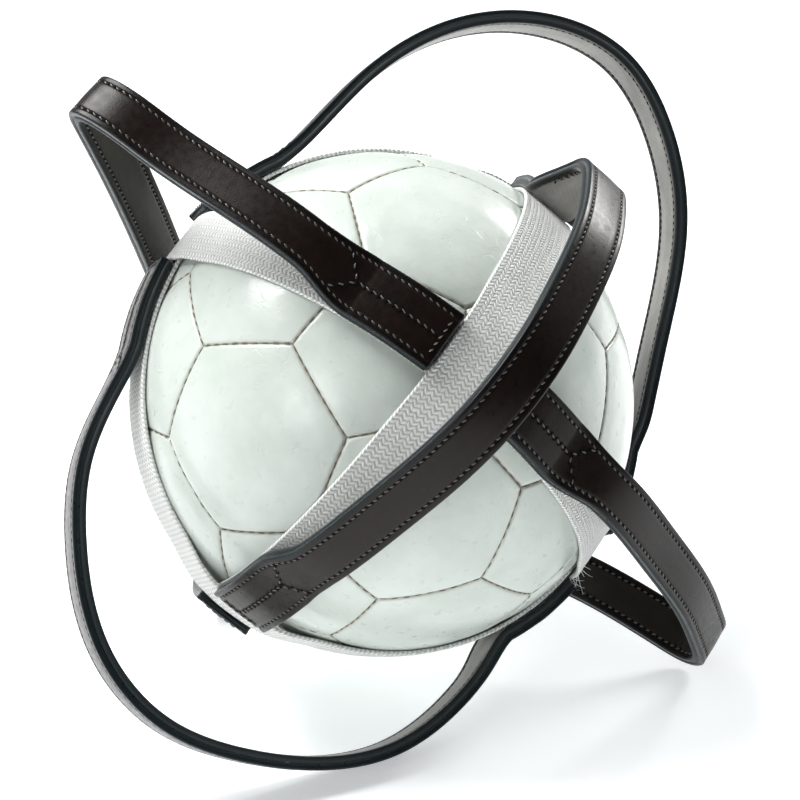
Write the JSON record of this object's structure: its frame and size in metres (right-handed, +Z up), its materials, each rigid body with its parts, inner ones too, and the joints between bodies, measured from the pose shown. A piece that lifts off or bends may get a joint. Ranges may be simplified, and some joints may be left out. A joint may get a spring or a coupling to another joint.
{
  "type": "horse ball",
  "caption": "Stitched panel ball in a harness of crossing webbing straps with arched leather handles, for two riders to pull, throw and catch.",
  "frame": {"origin": "middle of the bottom of the bounding box, on the floor that it rests on", "axes": "+Z up as it rests on its bottom, right and back handles; -Y towards the viewer who sees the front crossing low on the left strap; +X to that viewer's right"},
  "size_m": [0.2724, 0.2774, 0.2827],
  "materials": {
    "panel_leather": "glossy coated white leather, softly puffed",
    "webbing": "bright white ribbed woven webbing",
    "handle_leather": "very dark brown satin bridle leather, dark edges, saddle stitched",
    "handle_lining": "dark brown flesh-side lining leather, matt, stitched",
    "casing_textile": "laminated cotton backing",
    "bladder_rubber": "smooth latex",
    "valve_rubber": "soft black rubber"
  },
  "bodies": {
    "ball_and_harness": {"casing_lining": "casing_textile", "bladder": "bladder_rubber", "bladder_valve": "valve_rubber", "hexagon_panel_01": "panel_leather", "hexagon_panel_02": "panel_leather", "hexagon_panel_03": "panel_leather", "hexagon_panel_04": "panel_leather", "hexagon_panel_05": "panel_leather", "hexagon_panel_06": "panel_leather", "hexagon_panel_07": "panel_leather", "hexagon_panel_08": "panel_leather", "hexagon_panel_09": "panel_leather", "hexagon_panel_10": "panel_leather", "hexagon_panel_11": "panel_leather", "hexagon_panel_12": "panel_leather", "hexagon_panel_13": "panel_leather", "hexagon_panel_14": "panel_leather", "hexagon_panel_15": "panel_leather", "hexagon_panel_16": "panel_leather", "hexagon_panel_17": "panel_leather", "hexagon_panel_18": "panel_leather", "hexagon_panel_19": "panel_leather", "hexagon_panel_20": "panel_leather", "pentagon_panel_01": "panel_leather", "pentagon_panel_02": "panel_leather", "pentagon_panel_03": "panel_leather", "pentagon_panel_04": "panel_leather", "pentagon_panel_05": "panel_leather", "pentagon_panel_06": "panel_leather", "pentagon_panel_07": "panel_leather", "pentagon_panel_08": "panel_leather", "pentagon_panel_09": "panel_leather", "pentagon_panel_10": "panel_leather", "pentagon_panel_11": "panel_leather", "pentagon_panel_12": "panel_leather", "webbing_strap_side": "webbing", "webbing_strap_upright": "webbing", "webbing_strap_level": "webbing", "handle_left_tabs": "handle_leather", "handle_right_tabs": "handle_leather", "handle_front_tabs": "handle_leather", "handle_back_tabs": "handle_leather", "handle_bottom_tabs": "handle_leather", "handle_top_tabs": "handle_leather"},
    "handle_left": {"handle_left_leather": "handle_leather", "handle_left_lining": "handle_lining"},
    "handle_right": {"handle_right_leather": "handle_leather", "handle_right_lining": "handle_lining"},
    "handle_front": {"handle_front_leather": "handle_leather", "handle_front_lining": "handle_lining"},
    "handle_back": {"handle_back_leather": "handle_leather", "handle_back_lining": "handle_lining"},
    "handle_bottom": {"handle_bottom_leather": "handle_leather", "handle_bottom_lining": "handle_lining"},
    "handle_top": {"handle_top_leather": "handle_leather", "handle_top_lining": "handle_lining"}
  },
  "joints": [
    {"name": "handle_left_sway", "type": "hinge", "parent": "ball_and_harness", "child": "handle_left", "pos_m": [-0.04023, 0.00219, 0.16548], "axis": [0.3171, -0.8218, 0.4734], "range_deg": [-12, 12], "stiffness_Nm_per_rad": 8},
    {"name": "handle_right_sway", "type": "hinge", "parent": "ball_and_harness", "child": "handle_right", "pos_m": [0.0335, -0.01055, 0.09397], "axis": [0.3171, -0.8218, 0.4734], "range_deg": [-12, 12], "stiffness_Nm_per_rad": 8},
    {"name": "handle_front_sway", "type": "hinge", "parent": "ball_and_harness", "child": "handle_front", "pos_m": [0.01304, -0.04671, 0.15422], "axis": [-0.626, -0.5563, -0.5465], "range_deg": [-12, 12], "stiffness_Nm_per_rad": 8},
    {"name": "handle_back_sway", "type": "hinge", "parent": "ball_and_harness", "child": "handle_back", "pos_m": [-0.01978, 0.03835, 0.10523], "axis": [-0.626, -0.5563, -0.5465], "range_deg": [-12, 12], "stiffness_Nm_per_rad": 8},
    {"name": "handle_bottom_sway", "type": "hinge", "parent": "ball_and_harness", "child": "handle_bottom", "pos_m": [-0.03576, -0.03297, 0.10144], "axis": [-0.7124, 0.1231, 0.6909], "range_deg": [-12, 12], "stiffness_Nm_per_rad": 8},
    {"name": "handle_top_sway", "type": "hinge", "parent": "ball_and_harness", "child": "handle_top", "pos_m": [0.02903, 0.02461, 0.158], "axis": [-0.7124, 0.1231, 0.6909], "range_deg": [-12, 12], "stiffness_Nm_per_rad": 8}
  ]
}
